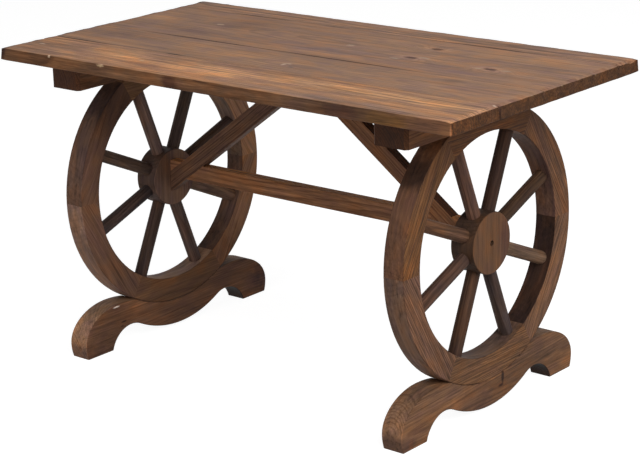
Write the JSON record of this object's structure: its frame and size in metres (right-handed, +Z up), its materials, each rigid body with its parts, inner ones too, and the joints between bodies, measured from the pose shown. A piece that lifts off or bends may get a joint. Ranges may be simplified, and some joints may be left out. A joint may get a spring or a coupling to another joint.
{
  "type": "wagon wheel table",
  "caption": "Rustic plank table carried on spoked wagon wheels set in S-curved feet, tied by a hub-to-hub stretcher and diagonal braces.",
  "frame": {"origin": "on the floor, below the middle of the top", "axes": "+X along the table, from one wheel to the other; +Y across it, to the back; +Z up"},
  "size_m": [1.052, 0.56, 0.6],
  "materials": {
    "stained_top": "brown stain with a thin clear coat",
    "stained_frame": "brown stain with a thin clear coat",
    "stained_wheel": "brown stain with a thin clear coat",
    "stained_spoke": "brown stain with a thin clear coat",
    "bare_dowel": "bare",
    "steel": "zinc plated"
  },
  "bodies": {
    "root": {"brace_screws": "steel", "foot_screws": "steel", "hub_screws": "steel", "left_batten": "stained_frame", "left_batten_screws": "steel", "left_brace": "stained_frame", "left_felloe_1": "stained_wheel", "left_felloe_2": "stained_wheel", "left_felloe_3": "stained_wheel", "left_felloe_4": "stained_wheel", "left_felloe_5": "stained_wheel", "left_felloe_6": "stained_wheel", "left_felloe_dowels": "bare_dowel", "left_foot": "stained_frame", "left_hub": "stained_wheel", "left_spoke_1": "stained_spoke", "left_spoke_2": "stained_spoke", "left_spoke_3": "stained_spoke", "left_spoke_4": "stained_spoke", "left_spoke_5": "stained_spoke", "left_spoke_6": "stained_spoke", "left_spoke_7": "stained_spoke", "left_spoke_8": "stained_spoke", "rail_screws": "steel", "right_batten": "stained_frame", "right_batten_screws": "steel", "right_brace": "stained_frame", "right_felloe_1": "stained_wheel", "right_felloe_2": "stained_wheel", "right_felloe_3": "stained_wheel", "right_felloe_4": "stained_wheel", "right_felloe_5": "stained_wheel", "right_felloe_6": "stained_wheel", "right_felloe_dowels": "bare_dowel", "right_foot": "stained_frame", "right_hub": "stained_wheel", "right_spoke_1": "stained_spoke", "right_spoke_2": "stained_spoke", "right_spoke_3": "stained_spoke", "right_spoke_4": "stained_spoke", "right_spoke_5": "stained_spoke", "right_spoke_6": "stained_spoke", "right_spoke_7": "stained_spoke", "right_spoke_8": "stained_spoke", "stretcher": "stained_frame", "top_plank_1": "stained_top", "top_plank_2": "stained_top", "top_plank_3": "stained_top", "top_plank_4": "stained_top", "top_rail": "stained_frame", "wheel_screws": "steel"}
  },
  "joints": []
}
